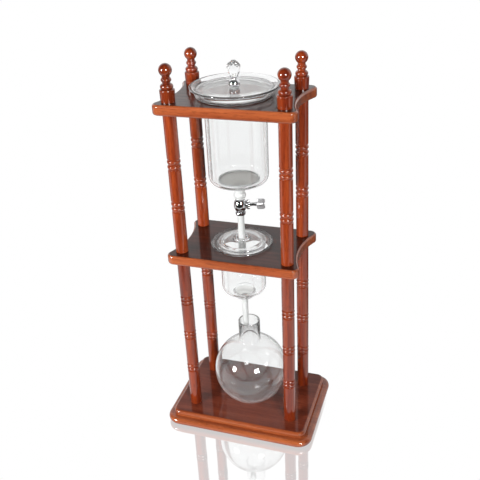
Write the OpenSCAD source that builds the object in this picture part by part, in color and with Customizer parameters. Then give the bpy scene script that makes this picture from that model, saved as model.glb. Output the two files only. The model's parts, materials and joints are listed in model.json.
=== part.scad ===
// Cold drip coffee tower: a turned wooden frame that carries a glass water vessel
// with a chrome drip tap, a glass coffee chamber and a round receiving flask.
// Millimetres. The origin is on the table under the middle of the base, +Z is up,
// +X is to the right as seen from the front and the front faces -Y.

/* [Base] */
// Width of the base over its mouldings
base_w = 241; // [234:1:252]
// Depth of the base over its mouldings
base_d = 173; // [168:1:184]
// Thickness of the base
base_h = 22; // [20:0.5:28]
// How far the flat top is set in from the outermost moulding
base_top_inset = 15; // [14:0.5:18]
// Corner radius of the flat top
base_corner_r = 7.5; // [6:0.5:12]
// Radius of the lower, larger bead of the base moulding
base_low_bead_r = 6; // [5:0.25:7]
// Radius of the upper, smaller bead of the base moulding
base_high_bead_r = 4.5; // [3.5:0.25:4.75]
// Diameter of the stick-on pads under the base
foot_d = 14; // [10:1:16]
// Height of the pads
foot_h = 2; // [1.5:0.5:3]

/* [Shelves] */
// Width of both shelves over their ears
shelf_ear_w = 198; // [194:1:204]
// Width of both shelves at their waist
shelf_waist_w = 175; // [170:1:180]
// Depth of both shelves
shelf_d = 128; // [122:1:134]
// Thickness of both shelves
shelf_h = 15; // [13:0.5:18]
// Radius of the shelf corners, in plan
shelf_corner_r = 10.5; // [9:0.5:14]
// Rounding of the long edges of the shelves
shelf_arris_r = 3.5; // [2:0.5:5]
// Diameter of the hole in the top shelf, for the water vessel
top_hole_d = 94; // [93.6:0.2:96]
// Diameter of the hole in the middle shelf, for the coffee chamber
middle_hole_d = 79; // [78.8:0.2:80]

/* [Posts] */
// Distance between post centres, side to side
post_gap_x = 160; // [156:1:164]
// Distance between post centres, front to back
post_gap_y = 89.5; // [86:0.5:92]
// Diameter of the posts
post_d = 18.5; // [17:0.5:21]
// Length of the lower posts, from the base to the middle shelf
lower_post_h = 270; // [262:1:290]
// Length of the upper posts, from the middle shelf to the top shelf
upper_post_h = 211.5; // [208:0.5:224]
// Height of the middle of the lowest pair of turned beads above a post's foot
first_beads_h = 74; // [64:1:80]
// Distance from one pair of beads to the next
beads_gap = 64; // [56:1:68]
// Height of one turned bead on the lower posts
low_bead_h = 6.4; // [5:0.2:7]
// Height of one turned bead on the upper posts
high_bead_h = 7.6; // [6:0.2:8.4]
// Depth of the turned grooves beside the beads
groove_depth = 1.5; // [1:0.1:2]
// Diameter of the threaded studs that join posts, shelves and finials
stud_d = 6; // [5:0.5:8]
// How far a stud reaches into a post
stud_reach = 25; // [15:1:35]
// Diameter of the wood screws that hold the base to the posts
screw_d = 4.5; // [4:0.5:5]
// How far a wood screw reaches into a post
screw_reach = 32; // [20:1:40]

/* [Finials] */
// Diameter of the ball on top of each finial
finial_ball_d = 17.8; // [15:0.2:18]
// Height of the ball's centre above the top shelf
finial_ball_z = 42; // [41:0.5:44]
// Diameter of the barrel at the foot of each finial
finial_barrel_d = 20.6; // [19:0.2:21]
// Height of the barrel
finial_barrel_h = 17.2; // [16:0.2:17.6]

/* [Water vessel] */
// Sideways place of the water vessel and the coffee chamber in their holes
glass_shift_x = -1.5; // [-1.5:0.1:1.5]
// Outside diameter of the water vessel below the top shelf
vessel_d = 86; // [84:0.5:86.5]
// How far the water vessel hangs below the top of the top shelf
vessel_drop = 126.5; // [120:0.5:128]
// Glass thickness of the water vessel
vessel_wall = 2.4; // [2:0.1:2.8]
// Outside diameter of the collar that stands on the top shelf
vessel_collar_d = 108.4; // [106:0.2:109]
// Height of the collar's rim above the top shelf
vessel_rim_h = 14.2; // [14:0.1:14.6]
// Diameter of the strainer at the bottom of the water vessel
strainer_d = 60; // [54:1:62]

/* [Tap and drip tube] */
// Height of the tap's axis above the base
tap_axis_h = 347.6; // [347:0.1:348.2]
// Turn of the tap handle from straight right towards the back, in degrees
tap_turn = 20; // [0:1:45]
// Largest diameter of the tap body
tap_body_d = 18.6; // [18:0.2:19.4]
// Height of the tap body
tap_body_h = 20.8; // [20.4:0.1:21.2]
// Diameter of the tap's plug
tap_plug_d = 8; // [7.6:0.1:8.4]
// Diameter of the tap's spindle
tap_spindle_d = 5.5; // [5:0.1:5.8]
// Distance from the tap's centre to the outer end of the wing handle
wing_end = 36.2; // [34:0.2:38]
// Height of the wing handle
wing_h = 16.5; // [14:0.5:18]
// Length of the wing handle along its spindle
wing_l = 12.5; // [11:0.5:14]
// Thickness of the wing handle's lobes
wing_t = 5; // [4:0.5:6]
// Outside diameter of the drip tube at its upper end
drip_tube_top_d = 9.6; // [9.2:0.1:10.6]
// Outside diameter of the drip tube at its lower end
drip_tube_end_d = 11.4; // [11:0.1:12.2]
// Height of the drip tube's lower end above the base
drip_tube_end_h = 269.6; // [262:0.2:274]

/* [Coffee chamber] */
// Outside diameter of the coffee chamber below the middle shelf
chamber_d = 67.3; // [66:0.1:67.6]
// How far the chamber's floor hangs below the top of the middle shelf
chamber_drop = 81.8; // [80:0.2:88]
// Glass thickness of the coffee chamber
chamber_wall = 2.2; // [2:0.1:2.4]
// Outside diameter of the filter seat under the chamber
seat_d = 34; // [33:0.5:36]
// Height of the filter seat
seat_h = 10; // [9.6:0.1:11]
// Outside diameter of the outlet tube
outlet_d = 9.4; // [9:0.1:10]
// Height of the outlet tube's lower end above the base
outlet_end_h = 132; // [120:1:140]

/* [Flask] */
// Outside diameter of the flask's ball
flask_d = 118; // [112:1:119]
// Height of the ball's centre above the base
flask_centre_h = 53; // [50:0.5:55]
// Outside diameter of the flask's neck
flask_neck_d = 34; // [32:0.5:37]
// Height of the flask over its neck
flask_h = 147; // [138:0.2:148]
// Glass thickness of the flask
flask_wall = 2; // [1.6:0.1:2.4]
// Sideways place of the flask, as it was put down
flask_shift_x = 3.6; // [-4:0.2:4]

/* [Lids and knob] */
// Outside diameter of the water vessel's lid
top_lid_d = 105; // [104.6:0.1:105.2]
// Diameter of the flat, sunk middle of the water vessel's lid
top_lid_flat_d = 72; // [66:1:76]
// Diameter of the crystal of the knob
crystal_d = 19.6; // [17:0.1:20]
// Outside diameter of the coffee chamber's lid
chamber_lid_d = 73; // [72.6:0.1:73.2]
// Diameter of the hole in the coffee chamber's lid, for the drip tube
chamber_lid_hole_d = 16.5; // [15.5:0.5:18]

/* [Hidden] */
$fn = 96;

// Colours
wood = "#9c4326";
shelf_wood = "#8a3d24";
base_wood = "#7d3a26";
glass = [0.9, 0.94, 0.94, 0.35];
chrome = "#c8cacd";
silicone = "#e6e7e3";
rubber = "#2b2a29";
steel = "#a9acae";

// Levels, from the table up
base_top = foot_h + base_h;
middle_under = base_top + lower_post_h;
middle_top = middle_under + shelf_h;
top_under = middle_top + upper_post_h;
top_top = top_under + shelf_h;
vessel_floor = top_top - vessel_drop;
tap_z = base_top + tap_axis_h;
tap_low = tap_z - tap_body_h / 2;
tap_high = tap_z + tap_body_h / 2;
chamber_floor = middle_top - chamber_drop;
seat_floor = chamber_floor - seat_h;
drip_tube_end = base_top + drip_tube_end_h;
outlet_end = base_top + outlet_end_h;

// Places of the posts
left = -1;
right = 1;
front = -1;
back = 1;

// A cut runs this far past the faces that it goes through
over = 1;
// Air left around a stud, screw, pin or hose in its hole
slip = 0.05;
// Air left between glass that lies in glass
glass_gap = 0.15;

// ---- Shared shapes ----

// Points along a circular arc, from angle a0 to angle a1
function arc(centre, r, a0, a1, steps = 8) =
  [for (i = [0:steps]) let (a = a0 + (a1 - a0) * i / steps) centre + r * [cos(a), sin(a)]];

// Unit vector to the left of the way from p to q
function left_of(p, q) = [p.y - q.y, q.x - p.x] / norm(q - p);

// Where a path's point goes when the path is moved t to its left
function moved_point(path, i, t) =
  let (
    n_in = left_of(path[max(i - 1, 0)], path[max(i, 1)]),
    n_out = left_of(path[min(i, len(path) - 2)], path[min(i + 1, len(path) - 1)]),
    middle = (n_in + n_out) / norm(n_in + n_out)
  )
  path[i] + t * middle / (middle * n_in);

// Section of a turned glass wall: its outer line, and the thickness laid to the left of it
module wall_section(path, t) {
  last = len(path) - 1;
  polygon(concat(path, [for (i = [last:-1:0]) moved_point(path, i, t)]));
}

// Moves its children to where the water vessel and the coffee chamber hang
module in_glass_line() {
  translate([glass_shift_x, 0, 0]) children();
}

// Bar of round section with one flat end on the plane z = 0
module rod(d, h) {
  cylinder(d = d, h = h);
}

// Places its children at one post, or at all four
module at_post(side, depth) {
  translate([side * post_gap_x / 2, depth * post_gap_y / 2, 0]) children();
}

module at_posts() {
  for (side = [left, right], depth = [front, back]) at_post(side, depth) children();
}

// Ring of small notches that makes a collar easy to grip
module notches(collar_d, notch_d, count, h) {
  for (i = [0:count - 1]) {
    rotate([0, 0, i * 360 / count])
      translate([collar_d / 2 + notch_d / 6, 0, -over])
        rod(notch_d, h + 2 * over);
  }
}

// ---- Base ----

base_step = 2 * base_low_bead_r;
// How far out from the edge of the flat top the back of the groove between the beads lies
groove_back = 3.8;
// How far out from the edge of the flat top the middle of the upper bead lies
high_bead_out = 0.56;

// Half section of the base: r is the distance out from the edge line of the flat top
module base_edge_section(inner) {
  low_out = base_top_inset - base_low_bead_r;
  translate([-inner, 0]) square([inner + low_out, base_step]);
  translate([low_out, base_low_bead_r]) circle(base_low_bead_r);
  translate([-inner, 0]) square([inner + groove_back, base_h - base_high_bead_r]);
  translate([-inner, base_step]) square([inner + high_bead_out, base_h - base_step]);
  translate([high_bead_out, base_h - base_high_bead_r]) circle(base_high_bead_r);
}

// Moulded block with the base's edge all round, standing on z = 0
module moulded_block() {
  top_w = base_w - 2 * base_top_inset;
  top_d = base_d - 2 * base_top_inset;
  core_w = top_w - 2 * base_corner_r;
  core_d = top_d - 2 * base_corner_r;
  for (side = [left, right], depth = [front, back]) {
    translate([side * core_w / 2, depth * core_d / 2, 0])
      rotate_extrude() {
        translate([base_corner_r, 0]) base_edge_section(base_corner_r);
      }
  }
  for (turn = [0, 180]) {
    rotate([0, 0, turn])
      translate([core_w / 2, top_d / 2, 0])
        rotate([90, 0, -90])
          linear_extrude(core_w) mirror([1, 0]) base_edge_section(top_d / 2);
    rotate([0, 0, turn])
      translate([top_w / 2, -core_d / 2, 0])
        rotate([90, 0, 180])
          mirror([1, 0, 0])
            linear_extrude(core_d) base_edge_section(top_w / 2);
  }
}

screw_head_d = 9;
screw_head_h = 3;
screw_sink = 1;

// Wood screw with a sunk cross head, its head's face on z = 0 and its point up
module wood_screw() {
  drive_w = 1.2;
  drive_depth = 1.6;
  tip_h = 4;
  difference() {
    union() {
      cylinder(d1 = screw_head_d, d2 = screw_d, h = screw_head_h);
      rod(screw_d, base_h - screw_sink + screw_reach - tip_h);
      translate([0, 0, base_h - screw_sink + screw_reach - tip_h])
        cylinder(d1 = screw_d, d2 = screw_d / 4, h = tip_h);
    }
    for (turn = [0, 90]) {
      rotate([0, 0, turn])
        translate([-screw_head_d / 4, -drive_w / 2, -over])
          cube([screw_head_d / 2, drive_w, drive_depth + over]);
    }
  }
}

module base_plate() {
  color(base_wood)
    translate([0, 0, foot_h])
      difference() {
        moulded_block();
        at_posts() {
          translate([0, 0, -over]) rod(screw_d + 4 * slip, base_h + 2 * over);
          translate([0, 0, -over]) rod(screw_head_d + 4 * slip, screw_sink + over);
          translate([0, 0, screw_sink])
            cylinder(d1 = screw_head_d + 4 * slip, d2 = screw_d + 4 * slip, h = screw_head_h);
        }
      }
}

foot_inset = 20;

module base_feet() {
  color(rubber)
    for (side = [left, right], depth = [front, back])
      translate([side * (base_w / 2 - foot_inset), depth * (base_d / 2 - foot_inset), 0])
        rod(foot_d, foot_h);
}

module base_screws() {
  color(steel)
    at_posts() translate([0, 0, foot_h + screw_sink]) wood_screw();
}

// ---- Posts ----

// What is cut from a post around z = 0 for a pair of turned beads
module bead_cut(bead_h) {
  half = bead_h + groove_depth;
  rotate_extrude()
    polygon([
      [post_d / 2 - groove_depth, -bead_h],
      [post_d / 2 - groove_depth, bead_h],
      [post_d / 2 + groove_depth / 4, half],
      [post_d / 2 + over, half],
      [post_d / 2 + over, -half],
      [post_d / 2 + groove_depth / 4, -half]
    ]);
}

// Pair of turned beads that fills the cut again, but for three grooves
module beads(bead_h) {
  bead_r = bead_h / 2;
  for (side = [-1, 1]) {
    translate([0, 0, side * bead_r])
      rotate_extrude()
        intersection() {
          translate([post_d / 2 - bead_r + groove_depth / 6, 0]) circle(bead_r);
          translate([0, -bead_r]) square([post_d, 2 * bead_r]);
        }
  }
}

// Turned post standing on z = 0, with the given number of bead pairs
module turned_post(h, pairs, bead_h) {
  end_r = 0.8;
  bead_heights = [for (i = [0:pairs - 1]) first_beads_h + i * beads_gap];
  difference() {
    union() {
      translate([0, 0, end_r]) rod(post_d, h - 2 * end_r);
      cylinder(d1 = post_d - 2 * end_r, d2 = post_d, h = end_r);
      translate([0, 0, h - end_r]) cylinder(d1 = post_d, d2 = post_d - 2 * end_r, h = end_r);
    }
    for (z = bead_heights) translate([0, 0, z]) bead_cut(bead_h);
  }
  for (z = bead_heights) translate([0, 0, z]) beads(bead_h);
}

module lower_post(side, depth) {
  color(wood)
    at_post(side, depth)
      translate([0, 0, base_top])
        difference() {
          turned_post(lower_post_h, 3, low_bead_h);
          translate([0, 0, -over]) rod(screw_d + 2 * slip, screw_reach + 2 * over);
          translate([0, 0, lower_post_h - stud_reach - over])
            rod(stud_d + 2 * slip, stud_reach + 2 * over);
        }
}

module upper_post(side, depth) {
  color(wood)
    at_post(side, depth)
      translate([0, 0, middle_top])
        difference() {
          turned_post(upper_post_h, 2, high_bead_h);
          translate([0, 0, -over]) rod(stud_d + 2 * slip, stud_reach + 2 * over);
          translate([0, 0, upper_post_h - stud_reach - over])
            rod(stud_d + 2 * slip, stud_reach + 2 * over);
        }
}

// ---- Shelves ----

corner_x = shelf_ear_w / 2 - shelf_corner_r;
corner_y = shelf_d / 2 - shelf_corner_r;
waist_x = shelf_waist_w / 2;
// The hollow side touches both corner rounds; it bites this far into them, so that they meet cleanly
side_bite = 0.15;
side_touch_r = shelf_corner_r - side_bite;
side_r = ((corner_x - waist_x) * (corner_x - waist_x) + corner_y * corner_y
  - side_touch_r * side_touch_r) / (2 * (side_touch_r + corner_x - waist_x));
side_x = waist_x + side_r;
touch_angle = atan2(corner_y, side_x - corner_x);

// Section of a board with rounded arrises, half_w to each side
module board_section(half_w) {
  a = shelf_arris_r;
  translate([-half_w, a]) square([2 * half_w, shelf_h - 2 * a]);
  translate([-half_w + a, 0]) square([2 * (half_w - a), shelf_h]);
  for (side = [-1, 1], z = [a, shelf_h - a]) translate([side * (half_w - a), z]) circle(a);
}

// Shelf with ears at the posts and hollow sides, standing on z = 0
module shelf_board() {
  a = shelf_arris_r;
  difference() {
    union() {
      translate([-corner_x, 0, 0])
        rotate([90, 0, 90])
          linear_extrude(2 * corner_x) board_section(shelf_d / 2);
      for (side = [left, right], depth = [front, back]) {
        translate([side * corner_x, depth * corner_y, 0])
          rotate_extrude()
            intersection() {
              board_section(shelf_corner_r);
              square([shelf_corner_r, shelf_h]);
            }
      }
      for (side = [left, right]) {
        linear_extrude(shelf_h)
          polygon([
            [side * corner_x, -corner_y],
            [side * (corner_x + shelf_corner_r * cos(touch_angle)),
              -corner_y + shelf_corner_r * sin(touch_angle)],
            [side * (corner_x + shelf_corner_r * cos(touch_angle)),
              corner_y - shelf_corner_r * sin(touch_angle)],
            [side * corner_x, corner_y]
          ]);
      }
    }
    for (side = [left, right]) {
      translate([side * side_x, 0, 0])
        rotate_extrude($fn = 180)
          difference() {
            translate([0, -over]) square([side_r + a, shelf_h + 2 * over]);
            translate([side_r, a]) square([2 * a, shelf_h - 2 * a]);
            for (z = [a, shelf_h - a]) translate([side_r + a, z]) circle(a);
          }
    }
  }
}

// Shelf with its round opening and its stud holes
module drilled_shelf(hole_d) {
  difference() {
    shelf_board();
    translate([0, 0, -over]) rod(hole_d, shelf_h + 2 * over);
    at_posts() translate([0, 0, -over]) rod(stud_d + 4 * slip, shelf_h + 2 * over);
  }
}

module middle_shelf() {
  color(shelf_wood) translate([0, 0, middle_under]) drilled_shelf(middle_hole_d);
}

module top_shelf() {
  color(shelf_wood) translate([0, 0, top_under]) drilled_shelf(top_hole_d);
}

finial_stud_reach = 13;

// Stud rising through a shelf whose underside is at z = 0
module stud(above) {
  point = 0.8;
  translate([0, 0, -stud_reach]) {
    cylinder(d1 = stud_d - 2 * point, d2 = stud_d, h = point);
    translate([0, 0, point]) rod(stud_d, stud_reach + shelf_h + above - 2 * point);
    translate([0, 0, stud_reach + shelf_h + above - point])
      cylinder(d1 = stud_d, d2 = stud_d - 2 * point, h = point);
  }
}

module middle_studs() {
  color(steel) at_posts() translate([0, 0, middle_under]) stud(stud_reach);
}

module top_studs() {
  color(steel) at_posts() translate([0, 0, top_under]) stud(finial_stud_reach);
}

// ---- Finials ----

// Turned finial on z = 0: barrel, groove, ring, bead and ball, with a narrow neck through them
module turned_finial() {
  barrel_r = finial_barrel_d / 2;
  foot_taper = 0.5;
  shoulder_r = 1.8;
  groove_r = 7.2;
  ring_r = 4;
  ring_out = 8.8;
  ring_z = 20.4;
  bead_r = 3.4;
  bead_out = 7;
  bead_z = 29.3;
  neck_r = 5.3;
  ball_r = finial_ball_d / 2;
  rotate_extrude() {
    polygon([
      [0, 0], [barrel_r - foot_taper, 0], [barrel_r, finial_barrel_h - shoulder_r],
      [0, finial_barrel_h - shoulder_r]
    ]);
    square([barrel_r - shoulder_r, finial_barrel_h]);
    translate([barrel_r - shoulder_r, finial_barrel_h - shoulder_r]) circle(shoulder_r);
    square([groove_r, ring_z]);
    translate([ring_out - ring_r, ring_z]) circle(ring_r);
    translate([bead_out - bead_r, bead_z]) circle(bead_r);
    square([neck_r, finial_ball_z]);
    intersection() {
      translate([0, finial_ball_z]) circle(ball_r);
      translate([0, finial_ball_z - ball_r]) square(2 * ball_r);
    }
  }
}

module finial(side, depth) {
  color(wood)
    at_post(side, depth)
      translate([0, 0, top_top])
        difference() {
          turned_finial();
          translate([0, 0, -over]) rod(stud_d + 2 * slip, finial_stud_reach + 2 * over);
        }
}

// ---- Water vessel ----

spout_d = 10;
spout_h = 12;
spout_bore_d = 5.2;
vessel_corner_r = 11.6;
vessel_neck_turn_r = 2.2;
collar_r = vessel_collar_d / 2;
collar_corner_r = 3.5;
rim_turn_r = 5.5;
rim_turn_end = 100;
// Where the outer line of the rim ends, out from the collar and up from the middle of the rim's turn
rim_end_out = 7.85;
rim_end_up = 6;
rim_turn_z = top_top + vessel_rim_h - vessel_wall - rim_end_up;

// Outer line of the water vessel, from the middle of its floor to its rim
vessel_line = concat(
  [[0, vessel_floor]],
  arc([vessel_d / 2 - vessel_corner_r, vessel_floor + vessel_corner_r], vessel_corner_r, -90, 0),
  arc([vessel_d / 2 + vessel_neck_turn_r, top_top - vessel_neck_turn_r], vessel_neck_turn_r, 180, 90, 4),
  arc([collar_r - collar_corner_r, top_top + collar_corner_r], collar_corner_r, -90, 0, 4),
  arc([collar_r + rim_turn_r, rim_turn_z], rim_turn_r, 180, rim_turn_end, 6),
  [[collar_r + rim_end_out, rim_turn_z + rim_end_up]]
);

module water_vessel() {
  in_glass_line() color(glass)
    difference() {
      union() {
        rotate_extrude() wall_section(vessel_line, vessel_wall);
        translate([0, 0, vessel_floor - spout_h]) rod(spout_d, spout_h + vessel_wall / 2);
      }
      translate([0, 0, vessel_floor - spout_h - over])
        rod(spout_bore_d, spout_h + vessel_wall + 2 * over);
    }
}

strainer_ring_h = 3.6;
strainer_ring_w = 3;
mesh_h = 0.8;

// Fine mesh disc, held in the ring's groove
module strainer_mesh() {
  in_glass_line() color("#bcbab4")
    translate([0, 0, vessel_floor + vessel_wall + strainer_ring_h / 2 - mesh_h / 2])
      rod(strainer_d - strainer_ring_w, mesh_h);
}

module strainer_ring() {
  in_glass_line() color(silicone)
    translate([0, 0, vessel_floor + vessel_wall])
      difference() {
        rod(strainer_d, strainer_ring_h);
        translate([0, 0, -over])
          rod(strainer_d - 2 * strainer_ring_w, strainer_ring_h + 2 * over);
        translate([0, 0, strainer_ring_h / 2 - mesh_h / 2 - slip])
          rod(strainer_d - strainer_ring_w + 2 * slip, mesh_h + 2 * slip);
      }
}

// ---- Tap ----

coupler_d = 15.6;
coupler_bulge_d = 17.8;
coupler_top_gap = 0.4;
coupler_bulge_h = 10;
coupler_edge = 1;
stem_h = 11;

// Soft sleeve that joins the vessel's spout to the tap's stem
module vessel_coupler() {
  h = vessel_floor - coupler_top_gap - tap_high;
  bulge_in = (coupler_bulge_d - coupler_d) / 2;
  in_glass_line() color(silicone)
    translate([0, 0, tap_high])
      difference() {
        rotate_extrude()
          polygon(concat(
            [[0, 0], [coupler_d / 2 - bulge_in / 2, 0]],
            arc([coupler_d / 2 - coupler_bulge_h / 2 + bulge_in, coupler_bulge_h / 2 + coupler_edge],
              coupler_bulge_h / 2, -60, 60),
            [[coupler_d / 2, coupler_bulge_h + 3 * coupler_edge], [coupler_d / 2, h - coupler_edge]],
            [[coupler_d / 2 - coupler_edge, h], [0, h]]
          ));
        translate([0, 0, -over]) rod(spout_d + 2 * slip, h + 2 * over);
      }
}

tap_end_d = 13;
tap_bore_d = 4;
boss_d = 12;
boss_end = 9.2;
nipple_d = 5.4;
nipple_bore_d = 3.4;
nipple_h = 14;
plug_end = 7.6;
run_fit = 0.05;

// Turns its children so that +Z runs out along the tap's handle
module along_handle() {
  translate([0, 0, tap_z]) rotate([0, 90, tap_turn]) children();
}

module tap_body() {
  swell = (tap_body_d - tap_end_d) / 2;
  half_h = tap_body_h / 2;
  barrel_r = (swell * swell + half_h * half_h) / (2 * swell);
  end_angle = asin(half_h / barrel_r);
  in_glass_line() color(chrome)
    difference() {
      union() {
        translate([0, 0, tap_z])
          rotate_extrude()
            polygon(concat(
              [[0, -half_h]],
              arc([tap_body_d / 2 - barrel_r, 0], barrel_r, -end_angle, end_angle, 12),
              [[0, half_h]]
            ));
        translate([0, 0, tap_high - over]) rod(spout_d, stem_h + over);
        translate([0, 0, tap_low - nipple_h]) rod(nipple_d, nipple_h + over);
        along_handle() rod(boss_d, boss_end);
      }
      translate([0, 0, tap_low - nipple_h - over]) rod(nipple_bore_d, nipple_h + over + half_h);
      translate([0, 0, tap_z]) rod(tap_bore_d, half_h + stem_h + over);
      along_handle()
        translate([0, 0, -plug_end - 2 * run_fit])
          rod(tap_plug_d + 2 * run_fit, plug_end + boss_end + over);
    }
}

packing_h = 1.6;
gland_spigot_h = 0.4;

// Seal ring around the spindle, between the plug and the gland nut
module tap_packing() {
  in_glass_line() color(silicone)
    along_handle()
      translate([0, 0, boss_end - gland_spigot_h - packing_h])
        difference() {
          rod(tap_plug_d - 2 * run_fit, packing_h);
          translate([0, 0, -over]) rod(tap_spindle_d + 2 * run_fit, packing_h + 2 * over);
        }
}

gland_d = 14.4;
gland_h = 4.6;
gland_notch_d = 1.6;
gland_notches = 14;

module tap_gland_nut() {
  in_glass_line() color(chrome)
    along_handle()
      translate([0, 0, boss_end])
        difference() {
          union() {
            difference() {
              rod(gland_d, gland_h);
              notches(gland_d, gland_notch_d, gland_notches, gland_h);
            }
            translate([0, 0, -gland_spigot_h]) rod(tap_plug_d - 2 * run_fit, gland_spigot_h + over);
          }
          translate([0, 0, -gland_spigot_h - over])
            rod(tap_spindle_d + 2 * run_fit, gland_h + gland_spigot_h + 2 * over);
        }
}

nozzle_d = 15.4;
nozzle_taper = 1.4;
nozzle_h = 5.2;
nozzle_notch_d = 2.2;
nozzle_notches = 12;
tube_top_gap = 2.8;

// Grip ring that presses the drip tube onto the tap's nipple
module tap_nozzle_nut() {
  in_glass_line() color(chrome)
    translate([0, 0, tap_low - nozzle_h])
      difference() {
        cylinder(d1 = nozzle_d - nozzle_taper, d2 = nozzle_d, h = nozzle_h);
        translate([0, 0, -over])
          rod(drip_tube_top_d + 4 * slip, nozzle_h - tube_top_gap + 2 * over);
        translate([0, 0, -over]) rod(nipple_d + 2 * slip, nozzle_h + 2 * over);
        notches(nozzle_d, nozzle_notch_d, nozzle_notches, nozzle_h);
      }
}

module drip_tube() {
  top = tap_low - tube_top_gap;
  straight = nozzle_h - tube_top_gap + over;
  in_glass_line() color(silicone)
    difference() {
      union() {
        translate([0, 0, top - straight]) rod(drip_tube_top_d, straight);
        translate([0, 0, drip_tube_end])
          cylinder(d1 = drip_tube_end_d, d2 = drip_tube_top_d, h = top - straight - drip_tube_end);
      }
      translate([0, 0, drip_tube_end - over])
        rod(nipple_d + 2 * slip, top - drip_tube_end + 2 * over);
    }
}

wing_shaft_reach = 8;

// Plug with its cross bore, and the spindle that turns it; the bore is upright when the tap is open
module tap_spindle() {
  spindle_end = wing_end - wing_l + wing_shaft_reach;
  shoulder = boss_end - gland_spigot_h - packing_h - run_fit;
  in_glass_line() color(chrome)
    along_handle()
      difference() {
        union() {
          translate([0, 0, -plug_end]) rod(tap_plug_d, plug_end + shoulder);
          rod(tap_spindle_d, spindle_end);
        }
        rotate([0, 90, 0])
          translate([0, 0, -tap_plug_d]) rod(tap_bore_d, 2 * tap_plug_d);
        wing_pin_hole();
      }
}

wing_pin_d = 1.6;
wing_lobe_r = 3;
wing_boss_d = 8;

module wing_pin_hole() {
  translate([0, 0, wing_end - wing_l / 2])
    rotate([90, 0, 0])
      translate([0, 0, -wing_boss_d]) rod(wing_pin_d + slip, 2 * wing_boss_d);
}

// Wing handle: two rounded lobes with a waist, on a short round boss
module tap_wing() {
  half_l = wing_l / 2;
  half_h = wing_h / 2;
  waist_h = 5;
  waist_in = 1;
  // The straight parts of the lobes run this far into the waist, so that all is one piece
  joined = 0.5;
  in_glass_line() color(chrome)
    along_handle()
      difference() {
        translate([0, 0, wing_end - half_l]) {
          translate([0, 0, -half_l]) rod(wing_boss_d, wing_l - waist_in);
          rotate([90, 0, 0])
            translate([0, 0, -wing_t / 2])
              linear_extrude(wing_t) {
                square([wing_h - wing_lobe_r, 2 * (half_l - waist_in)], center = true);
                for (lobe = [-1, 1]) {
                  translate([lobe * (half_h + waist_h / 2) / 2, 0])
                    square([half_h - waist_h / 2 - 2 * wing_lobe_r + joined, wing_l], center = true);
                  for (end = [-1, 1], at = [half_h - wing_lobe_r, waist_h / 2 + wing_lobe_r - joined])
                    translate([lobe * at, end * (half_l - wing_lobe_r)]) circle(wing_lobe_r);
                }
              }
        }
        translate([0, 0, wing_end - wing_l - over])
          rod(tap_spindle_d + slip, wing_shaft_reach + over + slip);
        wing_pin_hole();
      }
}

module tap_wing_pin() {
  pin_inset = 0.3;
  pin_l = wing_boss_d - 2 * pin_inset;
  in_glass_line() color(steel)
    along_handle()
      translate([0, 0, wing_end - wing_l / 2])
        rotate([90, 0, 0])
          translate([0, 0, -pin_l / 2]) rod(wing_pin_d, pin_l);
}

// ---- Lid of the water vessel, and its knob ----

lid_wall = 2.4;
lid_bead_r = 1.4;
lid_bead_x = top_lid_d / 2 - lid_bead_r;
// Height at which the lid's edge bead rests in the turn of the vessel's rim
rest_reach = rim_turn_r + vessel_wall + lid_bead_r + glass_gap;
rest_side = collar_r + rim_turn_r - lid_bead_x;
lid_bead_z = rim_turn_z + sqrt(rest_reach * rest_reach - rest_side * rest_side);
lid_sink = 2;
lid_flat_z = lid_bead_z - lid_sink;
// Bend around the lid's flat middle: distance out from its edge, and rise
lid_bend = [[0, 0], [2, 0.2], [5, 0.5]];
lid_hole_d = 5;
knob_screw_d = 4;
washer_d = 12;
washer_h = 0.8;

module top_lid() {
  line = concat(
    [[0, lid_flat_z]],
    [for (p = lid_bend) [top_lid_flat_d / 2, lid_flat_z] + p],
    [[lid_bead_x, lid_bead_z - lid_wall / 2]]
  );
  in_glass_line() color(glass)
    difference() {
      rotate_extrude() {
        wall_section(line, lid_wall);
        translate([lid_bead_x, lid_bead_z]) circle(lid_bead_r);
      }
      translate([0, 0, lid_flat_z - over]) rod(lid_hole_d, lid_wall + 2 * over);
    }
}

bell_base = lid_flat_z + lid_wall + washer_h;
bell_h = 14;
bell_d = 15.8;
bell_foot_d = 9;
bell_belly_r = 5.2;
bell_belly_z = 5;
bell_hollow_r = 4.4;
bell_neck_d = 6.6;
bell_cup_h = 2.5;
crystal_foot_d = 11;
crystal_stem_h = 5.6;

// Bell under the crystal
module knob_bell() {
  in_glass_line() color(chrome)
    difference() {
      translate([0, 0, bell_base])
        rotate_extrude()
          polygon(concat(
            [[0, 0], [bell_foot_d / 2, 0]],
            arc([bell_d / 2 - bell_belly_r, bell_belly_z], bell_belly_r, -65, 60, 10),
            arc([bell_neck_d / 2 + bell_hollow_r, bell_h - bell_cup_h], bell_hollow_r, 215, 180, 8),
            [[crystal_foot_d / 2, bell_h], [0, bell_h]]
          ));
      translate([0, 0, bell_base - over]) rod(knob_screw_d + 2 * slip, bell_h + 2 * over);
    }
}

crystal_sides = 10;
crystal_tip_h = 21.4;
// Rings of corners on the crystal: latitude in degrees, and turn in half sides
crystal_rings = [[-50, 0], [-22, 1], [0, 0], [22, 1], [48, 0], [68, 1]];

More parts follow.
